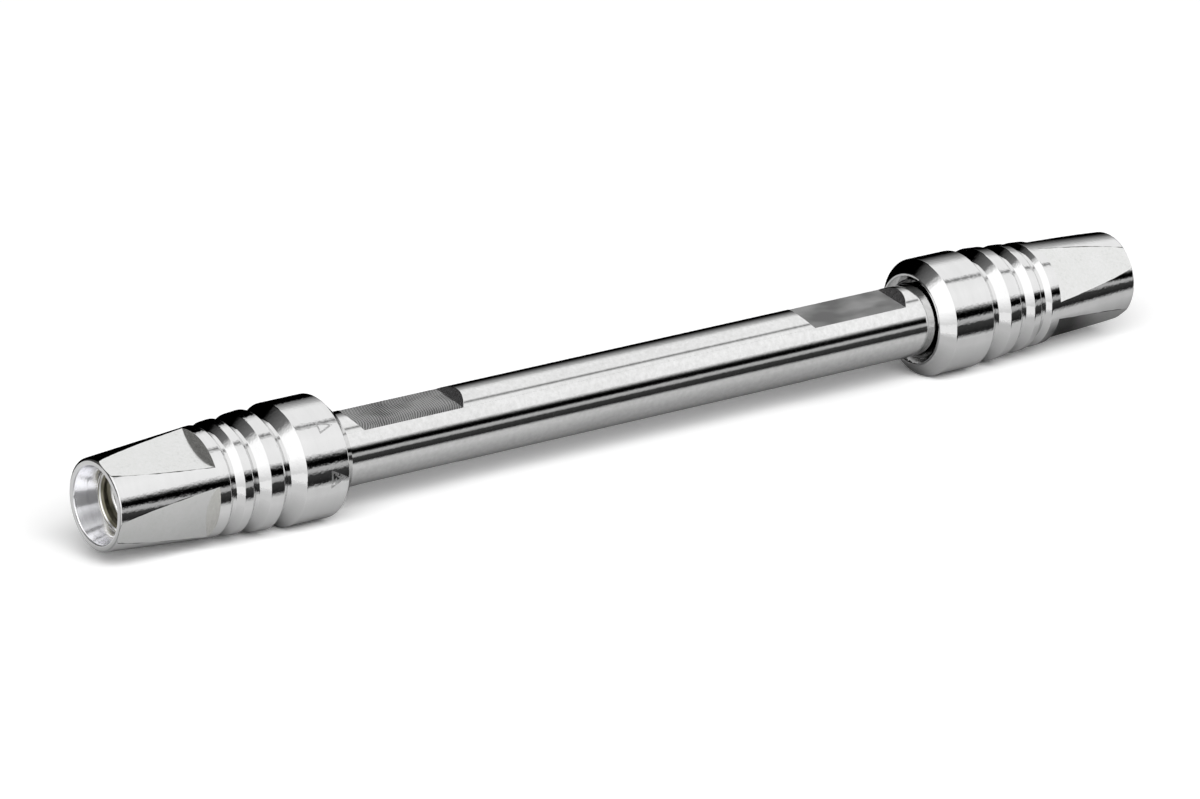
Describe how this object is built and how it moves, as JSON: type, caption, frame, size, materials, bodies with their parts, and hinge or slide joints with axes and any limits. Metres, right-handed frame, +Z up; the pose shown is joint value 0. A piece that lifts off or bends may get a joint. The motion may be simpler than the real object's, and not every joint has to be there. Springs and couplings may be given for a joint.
{
  "type": "hplc column",
  "caption": "Narrow-bore liquid chromatography column: packed steel tube with a tapered, grooved end fitting screwed on each end.",
  "frame": {"origin": "middle of the column's axis, halfway between the two tips, which is also the middle of the clip seat", "axes": "+X along the column from inlet to outlet, +Z up, lying level as it does on its two collars or in its clip"},
  "size_m": [0.1064, 0.0104, 0.0104],
  "materials": {
    "tube_steel": "polished stainless steel with faint lengthwise draw marks",
    "fitting_steel": "bright turned stainless steel with fine tool marks",
    "sintered_steel": "sintered porous steel",
    "seal_polymer": "beige polymer",
    "silica_bed": "white packed powder"
  },
  "bodies": {
    "column": {"column_tube": "tube_steel", "packed_bed": "silica_bed"},
    "inlet_frit_carrier": {"inlet_frit": "sintered_steel", "inlet_frit_ring": "seal_polymer"},
    "inlet_fitting": {"inlet_end_fitting": "fitting_steel"},
    "outlet_frit_carrier": {"outlet_frit": "sintered_steel", "outlet_frit_ring": "seal_polymer"},
    "outlet_fitting": {"outlet_end_fitting": "fitting_steel"}
  },
  "joints": [
    {"name": "inlet_fitting_travel", "type": "slide", "parent": "column", "child": "inlet_frit_carrier", "axis": [-1, 0, 0], "range_m": [0, 0.00454]},
    {"name": "inlet_fitting_turn", "type": "hinge", "parent": "inlet_frit_carrier", "child": "inlet_fitting", "pos_m": [-0.042, 0, 0], "axis": [-1, 0, 0], "range_deg": [0, 1800]},
    {"name": "outlet_fitting_travel", "type": "slide", "parent": "column", "child": "outlet_frit_carrier", "axis": [1, 0, 0], "range_m": [0, 0.00454]},
    {"name": "outlet_fitting_turn", "type": "hinge", "parent": "outlet_frit_carrier", "child": "outlet_fitting", "pos_m": [0.042, 0, 0], "axis": [1, 0, 0], "range_deg": [0, 1800]}
  ],
  "couplings": [
    {"joint": "inlet_fitting_travel", "follows": "inlet_fitting_turn", "m_per_rad": 0.00014438},
    {"joint": "outlet_fitting_travel", "follows": "outlet_fitting_turn", "m_per_rad": 0.00014438}
  ]
}
